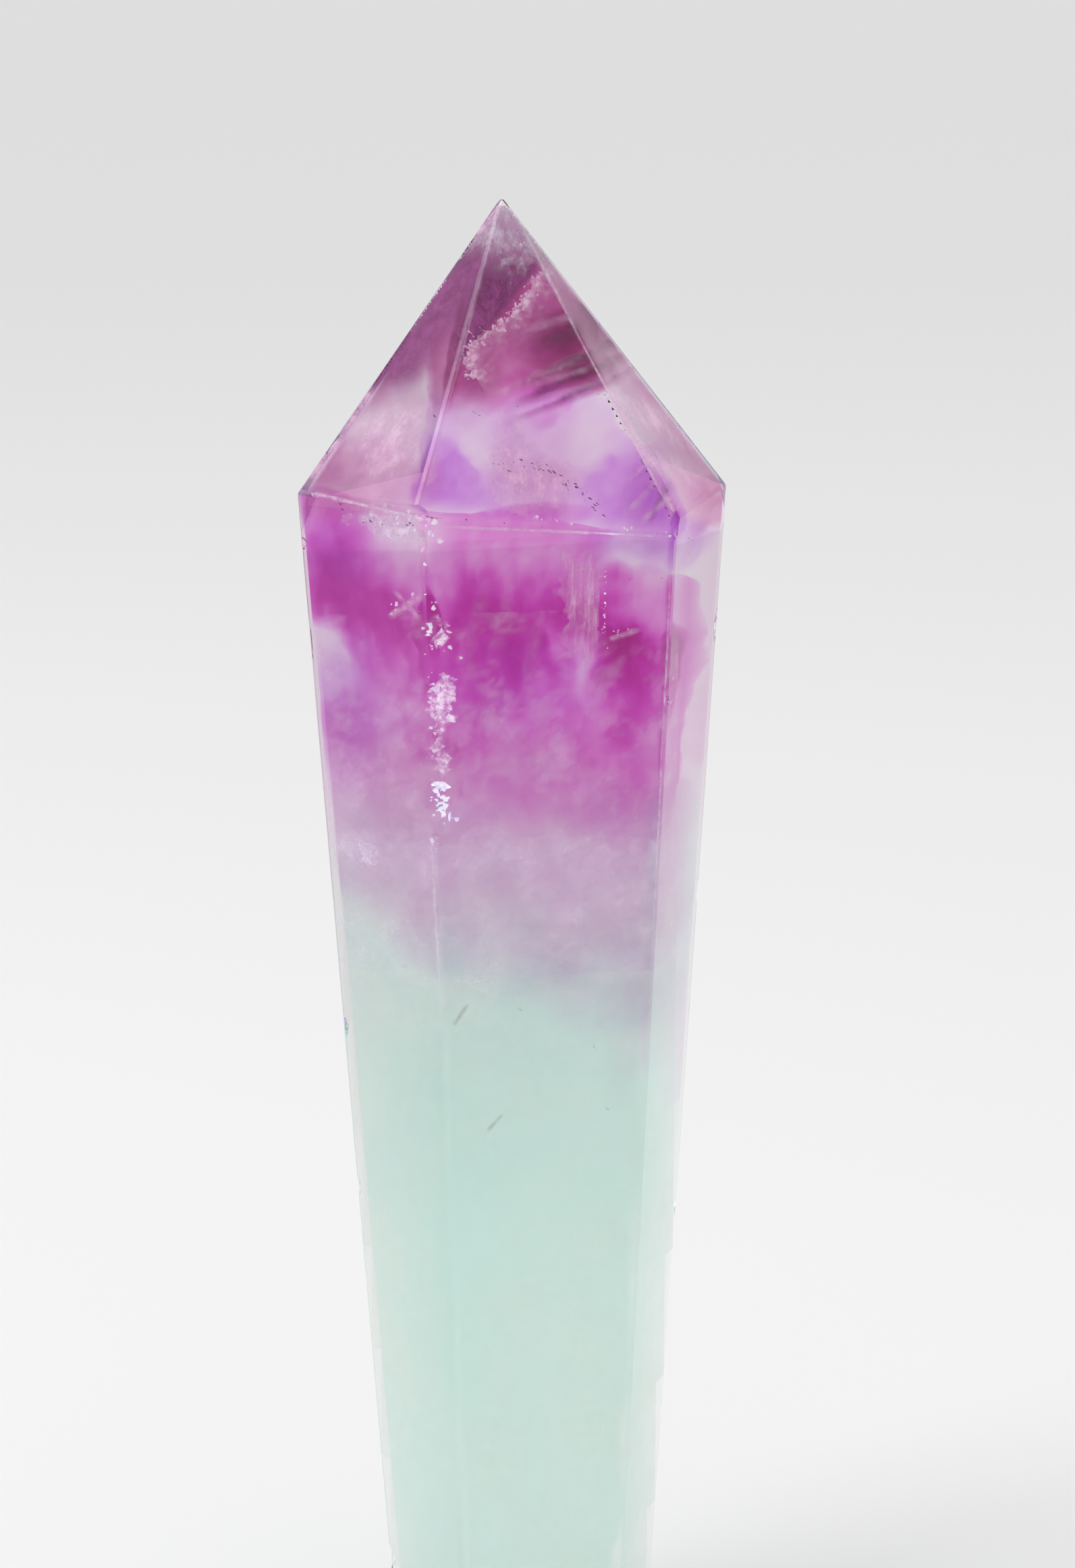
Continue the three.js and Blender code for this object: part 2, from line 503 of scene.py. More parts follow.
def patch(x, z, centre_x, centre_z, wide, tall, lean=0.0):
    """1 at the middle of an ellipse, 0 somewhat past its rim; lean tips it over, in degrees."""
    turn = math.radians(lean)
    across = (x - centre_x) * math.cos(turn) + (z - centre_z) * math.sin(turn)
    along = (z - centre_z) * math.cos(turn) - (x - centre_x) * math.sin(turn)
    return 1.0 - rise(math.hypot(across / wide, along / tall), 0.0, 1.25)


def patches(x, z, *spots):
    """The sum of several patches, each given by its strength and then as for patch."""
    return sum(strength * patch(x, z, *spot) for strength, *spot in spots)


def cloud(x, z, size, layer=0.0, octaves=4):
    """Fractal noise of about -1 to 1; layer picks another pattern."""
    return noise.fractal(Vector((x / size, layer, z / size)), 0.8, 2.0, octaves)


def stir(x, z, reach, size, layer=0.0):
    """The place moved about by noise, which makes borders billow."""
    return x + reach * cloud(x, z, size, layer + 11.3, 3), z + reach * cloud(x, z, size, layer + 23.7, 3)


def mottle(x, z, size, layer=0.0):
    """Rougher noise, with more of its fine grain left in."""
    return noise.fractal(Vector((x / size, layer + 5.2, z / size)), 0.35, 2.1, 5)


def streaks(x, z, length, lean):
    """Noise drawn out into lines that run up the stone and lean to the right."""
    return noise.fractal(Vector(((x - lean * z) * 1.4, 31.7, z / length)), 0.5, 2.0, 4)


print("a soft band from 2 to 6:", [band(z, 2.0, 6.0, 2.0, 2.0) for z in range(9)])

# %% [markdown]
# The relief is a grid whose points are placed one by one, because no modifier knows where the colour is.
# Then the sheet is extruded far forward and the mould trims it. Inside the stone rays run aside as well
# as back, so the deeper parts are moved the way the rays go. Where there is no colour, the sheet is kept
# a little in front of the mould, or beads of colour would be left on its ridges.

# %% Making a body of colour
WIDER = 1.02  # the sheet's width as a share of the stone's
FORWARD = 40.0  # millimetres, far in front of the stone
DRIFT_REACH = 5.0  # millimetres; deeper parts go straight back, or a body's sides would cross
CLEAR_OF_MOULD = 0.15  # millimetres in front of the mould where there is no colour
SMALLEST_BODY = 40  # faces; anything smaller is a sliver


def drift(x, z):
    """How far a ray that enters here moves right and up for each millimetre it goes back."""
    side = 0.2 - 0.28 * rise(x, -7.5, -2.0) - 0.32 * rise(x, 7.5, 11.5)
    below_tip = 1.0 - rise(z, 64.0, 67.0)
    return side * below_tip, -0.08 * below_tip


def add_relief(name, depth_at, skin, mould, low_z, high_z, grain):
    """A closed body from well in front of the stone back to depth_at(x, z), trimmed by the mould."""
    columns = round((high.x - low.x) / MM / grain)
    rows = round((high_z - low_z) / grain)
    relief = add_grid(name, columns, rows)
    for vertex in relief.data.vertices:
        x = vertex.co.x * (high.x - low.x) / MM * WIDER
        z = low_z + (vertex.co.y + 0.5) * (high_z - low_z)
        depth = depth_at(x, z)
        if depth < 0.0:
            depth -= CLEAR_OF_MOULD
        right, up = drift(x, z)
        y, slanted = front_at(x * MM, z * MM, skin * MM)
        moved = min(depth, DRIFT_REACH)
        vertex.co = Vector((x + right * moved, y / MM + depth * slanted, z + up * moved)) * MM
    edit(relief)
    bpy.ops.mesh.extrude_region()
    bpy.ops.transform.translate(value=(0.0, -FORWARD * MM, 0.0))
    bpy.ops.mesh.select_all(action="SELECT")
    bpy.ops.mesh.normals_make_consistent(inside=False)
    end_edit()
    modify(relief, "BOOLEAN", operation="INTERSECT", object=mould, solver="EXACT")
    drop_crumbs(relief, SMALLEST_BODY)
    return relief


def finish_piece(piece, material):
    """Gives a piece its material and its place in the frame, and says how big it came out."""
    piece.data.materials.clear()
    piece.data.materials.append(material)
    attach(piece, "root")
    print(piece.name, sum(len(face.vertices) - 2 for face in piece.data.polygons), "triangles")


def add_colour(name, colour, depth_at, skin, heights, grain):
    """A body as deep at each place as depth_at says, between two heights. Lengths are in millimetres."""
    mould = add_mould(skin * MM)
    body = add_relief(name, depth_at, skin, mould, *heights, grain)
    bpy.data.objects.remove(mould, do_unlink=True)
    finish_piece(body, colour_body_material(name, colour))


# %% [markdown]
# Each facet shows the bands behind it from another side, so on the real stone they break where two facets
# meet. These functions tell on which facet a place lies, as seen from the front.

# %% Where the edges run
CORNER_A = (-5.4, 67.2)  # where the left and front facets of the tip meet the girdle
CORNER_B = (9.1, 65.4)  # where its front and right facets do
APEX = (-0.72, 84.0)
GIRDLE_LEFT = (-11.9, 67.75)  # the left end of the girdle
GIRDLE_SLOPE = (CORNER_B[1] - CORNER_A[1]) / (CORNER_B[0] - CORNER_A[0])
STRIP_LEAN = 0.045  # inwards for each millimetre down


def edge_from(corner, z):
    """Where the edge of the tip that starts at this corner passes this height."""
    return corner[0] + (z - corner[1]) / (APEX[1] - corner[1]) * (APEX[0] - corner[0])


def left_of_edge(x, z, soft=0.7):
    """1 on the left facet of the tip, 0 on the front one."""
    edge = edge_from(CORNER_A, z)
    return rise(x, edge, edge - soft)


def right_of_edge(x, z, soft=0.7):
    """1 on the right facet of the tip, 0 on the front one."""
    edge = edge_from(CORNER_B, z)
    return rise(x, edge, edge + soft)


def above_girdle(x, z, soft=0.35):
    """1 on the tip, 0 on the column, with a quick change at the girdle."""
    girdle = CORNER_A[1] + GIRDLE_SLOPE * (x - CORNER_A[0])
    return rise(z, girdle - soft / 2, girdle + soft / 2)


def past_edge_b(x, z):
    """0 on the front of the column, 1 on the narrow strip of facet to its right."""
    edge = CORNER_B[0] - STRIP_LEAN * (CORNER_B[1] - z)
    return rise(x, edge - 0.1, edge + 0.8)


print("the girdle falls by", round(-GIRDLE_SLOPE, 3), "mm for each mm to the right")

# %% [markdown]
# The strongest colour is a band of magenta just under the girdle, densest at its middle, patchy at the
# left and streaky below. It is written as a wide faint band, a narrow strong one and patches that add or
# take away. The small length taken off at the end makes the faintest colour count as none.

# %% Magenta
def magenta_depth(x, z):
    grain = 1.0 + 0.2 * mottle(x, z, 2.6, 2.0) + 0.16 * streaks(x, z, 4.0, -0.15)
    column = 1.0 - above_girdle(x, z)
    beside_strip = 1.0 - past_edge_b(x, z)
    shoulder = 0.34 * patch(x, z, 0.6, 66.6, 4.4, 1.0, 4.0)
    x, z = stir(x, z, 1.4, 4.0, 1.0)
    on_left = rise(x, -4.0, -8.0)
    wide = 0.3 * band(z, 51.0 - 0.12 * x, 68.6, 11.0, 1.2) * (1.0 - 0.58 * on_left)
    middle = 0.1 * band(z, 53.8 - 0.15 * x, 64.2, 5.0, 2.4) * (1.0 - 0.55 * on_left)
    core = 0.66 * band(z, 59.0, 63.4, 5.5, 2.4) * (1.0 - 0.7 * on_left)
    upper = patches(x, z, (0.52, -8.9, 63.3, 2.9, 5.0, 25.0), (0.15, 1.6, 64.0, 2.4, 1.3))
    spots = (0.38, 6.4, 57.6, 3.4, 4.4), (0.22, -0.6, 58.0, 3.2, 3.2), (0.6, 4.8, 58.8, 1.5, 2.6)
    lower = patches(x, z, *spots)
    lower_left = 0.08 * patch(x, z, -9.6, 54.2, 1.6, 2.6)
    outer = (0.36, -11.2, 58.9, 3.0, 3.5, 20.0), (0.22, -4.9, 58.6, 1.6, 1.8), (0.12, -5.8, 66.0, 3.6, 1.2)
    inner = (0.3, -4.7, 62.3, 0.8, 1.6), (0.25, -4.2, 52.8, 1.8, 1.4), (0.2, -2.6, 63.2, 1.0, 1.2)
    pale = patches(x, z, *outer) + patches(x, z, *inner)
    pale_right = patches(x, z, (0.7, 8.0, 63.0, 4.0, 3.4), (0.52, 2.5, 59.2, 1.3, 5.4, 25.0))
    below = wide + middle + core + upper + lower + lower_left - pale - pale_right
    pink_left = 0.08 * patch(x, z, -9.3, 68.9, 3.6, 2.4, -25.0)
    under_lines = 0.3 * patch(x, z, 1.0, 73.0, 3.4, 1.3, 12.0)
    above = shoulder + pink_left + under_lines
    near_b = rise(x, 6.6, 8.8) * (0.28 + 0.16 * rise(z, 59.5, 61.5))
    amount = column * below * (1.0 - near_b) + (1.0 - column) * above
    return MAGENTA["depth"] * amount * grain * beside_strip - 0.35


add_colour("magenta_band", MAGENTA, magenta_depth, 0.3, (42.0, 76.0), 0.25)

# %% [markdown]
# Violet lies in loose patches: in both lower corners of the tip's front facet, on the shoulders and
# faintly down the column. The glow is where the front of the tip is palest.

# %% Violet
def violet_depth(x, z):
    grain = 1.0 + 0.25 * mottle(x, z, 1.8, 6.0)
    on_tip = above_girdle(x, z)
    x, z = stir(x, z, 0.9, 3.0, 5.0)
    on_front = (1.0 - left_of_edge(x, z)) * (1.0 - right_of_edge(x, z))
    lavender = 0.3 * band(z, 60.0, 73.0, 1.0, 2.2) * on_front
    glow = patches(x, z, (0.16, -2.0, 70.4, 2.2, 2.4), (0.2, 4.2, 70.6, 4.0, 2.6, 30.0))
    left_corner = 0.44 * patch(x, z, -4.0, 67.8, 3.2, 2.8, -25.0)
    right_corner = 0.46 * patch(x, z, 7.4, 67.4, 3.6, 4.2) * on_front
    above = lavender + left_corner + right_corner - glow
    shoulders = (0.48, 7.0, 65.2, 3.8, 2.0), (0.32, -9.6, 64.8, 3.8, 2.8)
    column = (0.3, 0.5, 57.5, 6.5, 3.5), (0.35, -9.2, 56.0, 3.6, 6.0), (0.03, 11.0, 64.0, 2.6, 5.5)
    below = patches(x, z, *shoulders, *column)
    return VIOLET["depth"] * (on_tip * above + (1.0 - on_tip) * below) * grain - 0.15


add_colour("violet_patches", VIOLET, violet_depth, 0.4, (46.0, 76.0), 0.25)

# %% [markdown]
# The tip is the darkest part, a plum that is nearly brown on the right, where growth lines cross it. Its
# lower border slopes and jumps at the edge. So dark a colour has to be a thin body: a thick one this near
# an edge would show again through the facet beside it.

# %% Plum in the tip
LINE_SPACING = 0.95  # millimetres between two growth lines
LINE_SLOPE = 0.33


def tip_border(x, z):
    """The lower border of the dark zone, which the edge of the tip breaks in two."""
    on_front = 72.1 + 0.18 * (x + 3.9)
    on_left = 74.4 + 0.43 * (x + 4.1)
    share = left_of_edge(x, z)
    return share * on_left + (1.0 - share) * on_front


def tear_at(z):
    """Where the border of the torn veil passes this height."""
    return -2.5 + 0.84 * (z - 75.5)


def plum_depth(x, z):
    grain = 1.0 + 0.22 * mottle(x, z, 1.6, 8.0)
    level = z - LINE_SLOPE * x
    lines = 0.5 + 0.5 * math.cos((level - 72.7) * 2.0 * math.pi / LINE_SPACING)
    border = tip_border(x, z)
    on_left = left_of_edge(x, z)
    on_right = right_of_edge(x, z)
    x, z = stir(x, z, 0.5, 2.0, 7.0)
    dark_side = rise(tear_at(z) - x, -0.4, 0.9) * rise(z, 73.6, 76.0)
    apex = 0.3 * rise(z, 79.6, 80.8)
    thinner = 1.0 - on_left * (0.9 - 0.4 * rise(z, 75.0, 79.0))
    base = 0.3 * band(z, border + 0.9, 80.6, 1.5, 1.4) * thinner
    left_core = 0.3 * dark_side * band(z, 75.0, 79.6, 1.6, 2.2) * (1.0 - on_left)
    right_core = 0.5 * patch(x, z, 3.0, 76.2, 3.0, 1.8, 15.0)
    lined = 0.55 * lines * rise(x, -1.0, 3.0) * band(level, 71.8, 74.0, 0.5, 0.9)
    outer_left = 0.22 * patch(x, z, -7.4, 76.6, 1.7, 5.4, 35.0)
    dark_spots = (0.14, -1.6, 77.3, 1.2, 2.0), (0.1, -2.4, 72.9, 1.4, 1.4)
    pale_spots = (-0.2, -0.2, 74.6, 2.0, 1.5), (-0.12, -4.2, 74.2, 1.3, 1.8)
    near_edge = patches(x, z, *dark_spots, *pale_spots)
    lower = 0.08 * patch(x, z, 1.5, 69.5, 5.0, 3.6)
    lower_right = patches(x, z, (0.14, 7.8, 67.8, 2.2, 3.0), (0.45, 4.3, 74.1, 1.8, 1.2))
    amount = apex + base + left_core + right_core + lined + outer_left + near_edge + lower + lower_right
    return PLUM["depth"] * amount * grain * (1.0 - 0.4 * on_right) - 0.02


add_colour("plum_tip", PLUM, plum_depth, 0.25, (63.0, 84.0), 0.16)

# %% [markdown]
# A warmer rose fills the tip around the plum and covers its whole right facet.

# %% Rose in the tip
def rose_depth(x, z):
    grain = 1.0 + 0.25 * mottle(x, z, 2.0, 9.0)
    border = tip_border(x, z)
    on_left = left_of_edge(x, z)
    on_right = right_of_edge(x, z)
    x, z = stir(x, z, 0.7, 2.5, 10.0)
    upper = 0.85 * band(z, border + 0.3, 82.0, 1.0, 1.5) * (1.0 - 0.1 * on_left) * (1.0 - on_right)
    lines = 0.15 * math.sin((z - 0.2 * x) * 2.0 * math.pi / 1.7)
    right = on_right * (0.6 + 0.7 * rise(z, 70.0, 77.0) + lines) * band(z, 65.5, 84.0, 1.5, 1.0)
    low_left = 0.7 * patch(x, z, -8.8, 68.5, 4.6, 2.6)
    left = patches(x, z, (0.12, -4.9, 71.4, 1.2, 4.6), (0.7, -7.9, 73.2, 2.2, 1.7))
    veil = 0.12 * patch(x, z, 1.2, 68.2, 3.4, 1.8)
    return ROSE["depth"] * (upper + right + low_left + left + veil) * grain - 0.05


add_colour("rose_tip", ROSE, rose_depth, 0.5, (63.0, 84.0), 0.2)

# %% [markdown]
# Under the magenta comes a broad greyish lilac. It is weak, so its body is deep, and it also gives the
# narrow strip on the right its tint.

# %% Lilac below the bands
def lilac_depth(x, z):
    grain = 1.0 + 0.22 * cloud(x, z, 3.0, 14.0, 2)
    on_strip = past_edge_b(x, z)
    x, z = stir(x, z, 1.8, 5.0, 13.0)
    zone = 0.95 * band(z, 41.6 - 0.5 * x, 54.0, 8.0, 8.0)
    above = 0.1 * band(z, 50.0, 73.0, 6.0, 2.0)
    strip = (0.24 * band(z, 24.0, 66.8, 14.0, 5.0) - 0.1 * band(z, 53.0, 63.0, 6.0, 3.0)) * on_strip
    upper_hem = (0.35, -9.5, 53.0, 4.0, 6.0), (0.55, 5.7, 48.6, 4.0, 2.8)
    lower_hem = (0.16, 6.4, 36.5, 2.6, 4.0), (-0.14, 2.4, 41.0, 4.0, 2.6)
    return LILAC["depth"] * (zone + above + strip + patches(x, z, *upper_hem, *lower_hem)) * grain - 0.6


add_colour("lilac_middle", LILAC, lilac_depth, 0.6, (32.0, 76.0), 0.4)

# %% [markdown]
# The lower half is mint green, nearly even down to the foot. It thins out upwards under the lilac.

# %% Mint in the lower half
MINT_REACH = 14.0  # millimetres, most of the way through the stone


def mint_depth(x, z):
    grain = 1.0 + 0.12 * cloud(x, z, 5.0, 18.0, 2)
    x, z = stir(x, z, 2.0, 6.0, 17.0)
    return MINT_REACH * (1.0 - 0.75 * rise(z, 36.0, 47.0)) * (1.0 - rise(z, 46.0, 55.0)) * grain - 0.7


add_colour("mint_foot", MINT, mint_depth, 0.7, (-1.0, 60.0), 0.5)

# %% [markdown]
# ## Cracks, veils and glints
#
# The stone cracked while it grew and healed again, which left milky veils in it, and later knocks left
# small open cracks that catch the light. They lie just under the skin, in front of the colour. A veil is
# a film as thin as paper: how milky it is at each place is written on its vertices and broken up by
# noise in its material, and its torn outline is cut from the sheet itself.

# %% Material for veils
def veil_material(name, colour, light, across, along, glow=0.15, contrast=3.0):
    """Milky film with grain of two sizes in millimetres; glow stands for light scattered from behind."""
    recipe = Recipe(name)
    place = recipe.add("TexCoord", output="Object")
    scale = (1.0 / (across * MM), 1.0 / (across * MM), 1.0 / (along * MM))
    place = recipe.add("VectorMath", {0: place, 1: scale}, operation="MULTIPLY")
    grain = recipe.add("TexNoise", {"Vector": place, "Scale": 1.0, "Detail": 5.0, "Roughness": 0.7})
    milk = recipe.add("Attribute", output="Fac", attribute_name="milk")
    hides = (milk * ((grain - 0.5) * contrast + 0.75)).clamped()
    tint = recipe.add("ValToRGB", {"Fac": grain}, stops=((0.4, colour), (0.62, light)))
    inputs = {"Base Color": tint, "Roughness": 0.5, "Specular IOR Level": 0.0, "Alpha": hides}
    inputs |= {"Emission Color": tint, "Emission Strength": glow}
    return recipe.finished(Surface=recipe.add("BsdfPrincipled", inputs))


# %% [markdown]
# A film is a grid laid just behind the front facets, at its own small depth so that no two touch. A
# slight ripple keeps it from looking printed. The places without milk are deleted, and the Solidify
# modifier makes it as thick as a film.

# %% Making a film
FILM = 0.02  # millimetres thick
RIPPLE = 0.05  # millimetres
EDGE_MARGIN = 0.02 * MM
SMALLEST_SCRAP = 6  # faces; a torn film sheds smaller scraps


def under_skin(place, margin=EDGE_MARGIN):
    """True where the place lies inside every facet by the margin."""
    return all((place - centre).dot(normal) < -margin for centre, normal in facets)


def add_film(name, place_at, milk_at, columns, rows, skin):
    """A film under the front facets; place_at turns a place on the grid into one on them."""
    film = add_grid(name, columns, rows)
    milk = film.data.attributes.new("milk", "FLOAT", "POINT")
    torn_away = []
    for vertex in film.data.vertices:
        x, z = place_at(vertex.co.x + 0.5, vertex.co.y + 0.5)
        y, _ = front_at(x * MM, z * MM, skin * MM)
        ripple = RIPPLE * noise.noise(Vector((x, 3.3, z)))
        vertex.co = (x * MM, y + ripple * MM, z * MM)
        amount = milk_at(x, z) if under_skin(vertex.co) else 0.0
        milk.data[vertex.index].value = max(amount, 0.0)
        if amount <= 0.0:
            torn_away.append(vertex.index)
    delete_points(film, torn_away)
    open_pinches(film)
    drop_crumbs(film, SMALLEST_SCRAP)
    modify(film, "SOLIDIFY", thickness=FILM * MM, offset=0.0)
    return film


def add_veil(name, material, milk_at, box, skin, grain=0.15):
    """A torn film where milk_at(x, z) is above 0; box is left, right, low and high."""
    left, right, bottom, top = box

    def place_at(across, up):
        return left + across * (right - left), bottom + up * (top - bottom)

    columns = round((right - left) / grain)
    rows = round((top - bottom) / grain)
    finish_piece(add_film(name, place_at, milk_at, columns, rows, skin), material)


# %% [markdown]
# The torn veil catches the eye in the tip: a pink sheet, bright along its crumpled left border and faded
# away to the right. It is written by the distance to that border, and a rough noise tears it.

# %% The torn veil
PINK_MILK = veil_material("pink_milk", (0.76, 0.44, 0.64), (0.93, 0.74, 0.86), 0.5, 0.5, 0.2)
TEAR = ((-2.1, 74.1), (-2.6, 74.9), (-2.6, 75.8), (-1.6, 76.6), (-0.1, 77.6), (0.7, 78.7), (1.4, 79.8))


def distance_to(x, z, line):
    """Distance to a line through these points, and on which side of it the place lies (right is above 0)."""
    best = (1e9, 0.0)
    for (x0, z0), (x1, z1) in zip(line, line[1:]):
        along_x = x1 - x0
        along_z = z1 - z0
        length = along_x * along_x + along_z * along_z
        share = min(max(((x - x0) * along_x + (z - z0) * along_z) / length, 0.0), 1.0)
        gap = math.hypot(x - x0 - share * along_x, z - z0 - share * along_z)
        side = (x - x0) * along_z - (z - z0) * along_x
        if gap < best[0]:
            best = (gap, side)
    return best


def torn_milk(x, z):
    gap, side = distance_to(x, z, TEAR)
    gap += 0.35 * mottle(x, z, 0.5, 20.0)
    if side < 0.0:
        return 0.5 - 3.0 * gap
    return 0.5 * math.exp(-gap / 0.45) + 0.17 * math.exp(-gap / 1.8) - 0.05


add_veil("torn_veil", PINK_MILK, torn_milk, (-3.6, 5.6, 72.4, 81.0), 0.14, 0.12)

# %% [markdown]
# Two dark films deepen the plum where a body can't be thick, close to an edge. The very tip is frosted by
# small knocks, and a smoky fan spreads over the girdle.

# %% Dark films, frost and fan in the tip
PLUM_MILK = veil_material("plum_milk", (0.3, 0.04, 0.22), (0.44, 0.09, 0.34), 0.5, 1.2, 0.06, 1.6)
DUSKY = veil_material("dusky_milk", (0.4, 0.08, 0.31), (0.52, 0.15, 0.43), 0.9, 1.6, 0.08, 1.2)
FROST = veil_material("frost", (0.56, 0.44, 0.56), (0.8, 0.73, 0.81), 0.6, 1.6, 0.1)
SMOKE = veil_material("grey_pink", (0.7, 0.42, 0.62), (0.88, 0.64, 0.8), 0.6, 1.1, 0.24, 2.0)


def plum_veil_milk(x, z):
    on_front = 1.0 - left_of_edge(x, z, 0.25)
    core = 1.2 * rise(tear_at(z) - x, -0.3, 0.6) * band(z, 75.0, 80.2, 1.4, 1.6)
    top = 0.08 * band(z, 79.4, 82.0, 1.0, 0.8)
    return on_front * (core + top) * (1.0 + 0.3 * mottle(x, z, 0.6, 33.0)) - 0.02


def dusky_milk(x, z):
    slope_x, slope_z = APEX[0] - GIRDLE_LEFT[0], APEX[1] - GIRDLE_LEFT[1]
    across = (x - GIRDLE_LEFT[0]) * slope_z - (z - GIRDLE_LEFT[1]) * slope_x
    inward = across / math.hypot(slope_x, slope_z)
    return 1.05 * (1.0 - rise(inward, 0.4, 2.8)) * band(z, 73.7, 80.8, 1.8, 1.8) - 0.02


def frost_milk(x, z):
    ragged = z + 0.7 * mottle(x, z, 0.7, 21.0)
    return 0.75 * rise(ragged, 79.3, 81.6)


def fan_milk(x, z):
    spread = patches(x, z, (1.0, 0.9, 68.4, 3.6, 2.6, -12.0), (0.7, -0.4, 70.8, 1.3, 2.6))
    return 0.6 * spread + 0.22 * mottle(x, z, 0.9, 22.0) - 0.14


add_veil("plum_veil", PLUM_MILK, plum_veil_milk, (-4.4, 2.0, 73.6, 82.8), 0.22, 0.12)
add_veil("dusky_side", DUSKY, dusky_milk, (-9.4, -0.4, 72.8, 83.6), 0.08, 0.12)
add_veil("apex_frost", FROST, frost_milk, (-3.6, 2.6, 78.6, 83.4), 0.16, 0.12)
add_veil("fan_veil", SMOKE, fan_milk, (-3.4, 5.4, 66.4, 73.4), 0.12)

# %% [markdown]
# The column has a three-sided veil under its left shoulder and one with upright fibres on the right of
# its front. The soft clouds lower down have no torn edge, so their milk is never quite nothing.

# %% Veils in the column
MILK = veil_material("milk", (0.74, 0.6, 0.78), (0.93, 0.88, 0.95), 0.7, 0.5, 0.2)
COMBED = veil_material("combed_milk", (0.82, 0.42, 0.72), (0.93, 0.7, 0.88), 0.3, 2.6, 0.15)
SOFT_MILK = veil_material("soft_milk", (0.8, 0.68, 0.82), (0.9, 0.82, 0.92), 2.0, 1.6, 0.24, 1.6)


def shoulder_milk(x, z):
    top = 67.35 + 0.02 * (x + 9.4)
    lower = 65.9 - 0.45 * (x + 8.7) if x < -6.2 else 64.8 + 0.5 * (x + 6.2)
    inside = min(top - z, z - lower, x + 9.8, -4.8 - x)
    return 0.85 * rise(inside, -0.3, 1.3) + 0.35 * mottle(x, z, 0.8, 23.0) - 0.18


def combed_milk(x, z):
    left_edge = 2.0 + 0.06 * (65.0 - z)
    right_edge = 5.0 - 0.02 * (65.0 - z)
    inside = min(x - left_edge, (right_edge - x) * 3.0, (z - 57.6) * 0.5, (65.6 - z) * 0.8)
    return 0.5 * rise(inside, -0.1, 1.4) + 0.2 * mottle(x, z, 1.0, 24.0) - 0.1


def cloud_milk(x, z):
    left = patches(x, z, (0.3, -8.2, 47.8, 3.2, 2.0), (0.2, -10.6, 59.6, 1.4, 1.8))
    low_clouds = patches(x, z, (0.16, -3.0, 48.6, 4.6, 3.4), (0.16, 4.2, 46.8, 5.4, 3.0))
    wisps = 0.1 * band(z, 46.0, 57.0, 8.0, 7.0)
    return max(left + low_clouds + wisps + 0.2 * mottle(x, z, 2.6, 25.0) - 0.03, 0.002)


def left_cloud_milk(x, z):
    return 0.8 * patch(x, z, -8.4, 47.7, 1.9, 1.1) + 0.35 * mottle(x, z, 0.8, 29.0) - 0.25


add_veil("shoulder_veil", MILK, shoulder_milk, (-10.2, -3.2, 63.8, 67.8), 0.15, 0.12)
add_veil("combed_veil", COMBED, combed_milk, (1.6, 5.4, 57.0, 65.8), 0.16, 0.12)
add_veil("clouds", SOFT_MILK, cloud_milk, (-11.4, 9.0, 41.0, 61.6), 0.18, 0.25)
add_veil("left_cloud", MILK, left_cloud_milk, (-11.4, -5.4, 45.6, 49.8), 0.13, 0.12)

# %% [markdown]
# The side facets of the tip are creamy below the plum. In the green part a grey haze hides the border
# with the lilac, and slow clouds run to the foot.

# %% Cream, haze and clouds in the green
CREAM = veil_material("cream_milk", (0.86, 0.64, 0.79), (0.95, 0.8, 0.9), 1.8, 2.4, 0.24, 2.0)
GREY = veil_material("grey_haze", (0.78, 0.73, 0.78), (0.88, 0.86, 0.88), 2.4, 2.2, 0.22, 1.6)
MINT_MILK = veil_material("mint_milk", (0.74, 0.86, 0.8), (0.86, 0.89, 0.82), 5.0, 6.0, 0.22, 1.2)


def cream_left_milk(x, z):
    under = rise(tip_border(x, z) - z, -0.2, 1.6)
    middle = 0.62 * patch(x, z, -6.9, 70.8, 2.8, 3.4, -28.0) + 0.08
    return under * middle * left_of_edge(x, z) - 0.02


def cream_right_milk(x, z):
    lines = 0.16 * math.sin((z + 0.6 * x) * 2.0 * math.pi / 2.1)
    return (0.42 + lines) * band(z, 68.0, 74.5, 4.0, 7.0) * right_of_edge(x, z, 0.3) - 0.03


def haze_milk(x, z):
    whole = 0.26 + 0.2 * cloud(x, z, 2.6, 26.0, 3)
    return whole * band(z, 38.0, 46.5, 9.0, 5.0) - 0.003


def mint_cloud_milk(x, z):
    whole = 0.17 + 0.14 * cloud(x, z, 6.0, 30.0, 3) + 0.1 * patch(x, z, 5.0, 14.0, 8.0, 16.0)
    return max(whole, 0.01)


add_veil("cream_left", CREAM, cream_left_milk, (-11.4, -4.0, 67.0, 75.0), 0.13)
add_veil("cream_right", CREAM, cream_right_milk, (3.0, 11.8, 66.0, 78.6), 0.13)
add_veil("haze", GREY, haze_milk, (-9.6, 9.0, 32.0, 50.0), 0.21, 0.35)
add_veil("mint_clouds", MINT_MILK, mint_cloud_milk, (-9.6, 9.0, 1.0, 41.0), 0.2, 0.5)

# %% [markdown]
# Down the left front edge runs an open crack whose crumpled walls shine like foil. The shine is painted into
# the film: light and dark grain in its tint, and a glow.

# %% The crumpled crack
# painted reflection: the near-white grain and the glow stand for the shine of the crack walls
FOIL = veil_material("foil", (0.7, 0.46, 0.72), (0.98, 0.96, 0.99), 0.4, 0.35, 0.35, 5.0)


def crumple_milk(x, z):
    line = -4.5 + 0.03 * (z - 52.0)
    upper = patches(x, z, (1.2, line + 0.4, 56.9, 1.1, 2.0), (0.6, line + 0.5, 60.3, 1.0, 1.7, 25.0))
    reach = upper + 0.7 * patch(x, z, line + 0.5, 53.8, 0.9, 1.5)
    return 0.9 * reach + 0.36 * mottle(x, z, 0.6, 27.0) - 0.2


add_veil("crumple", FOIL, crumple_milk, (-6.2, -2.4, 51.8, 62.4), 0.1, 0.1)

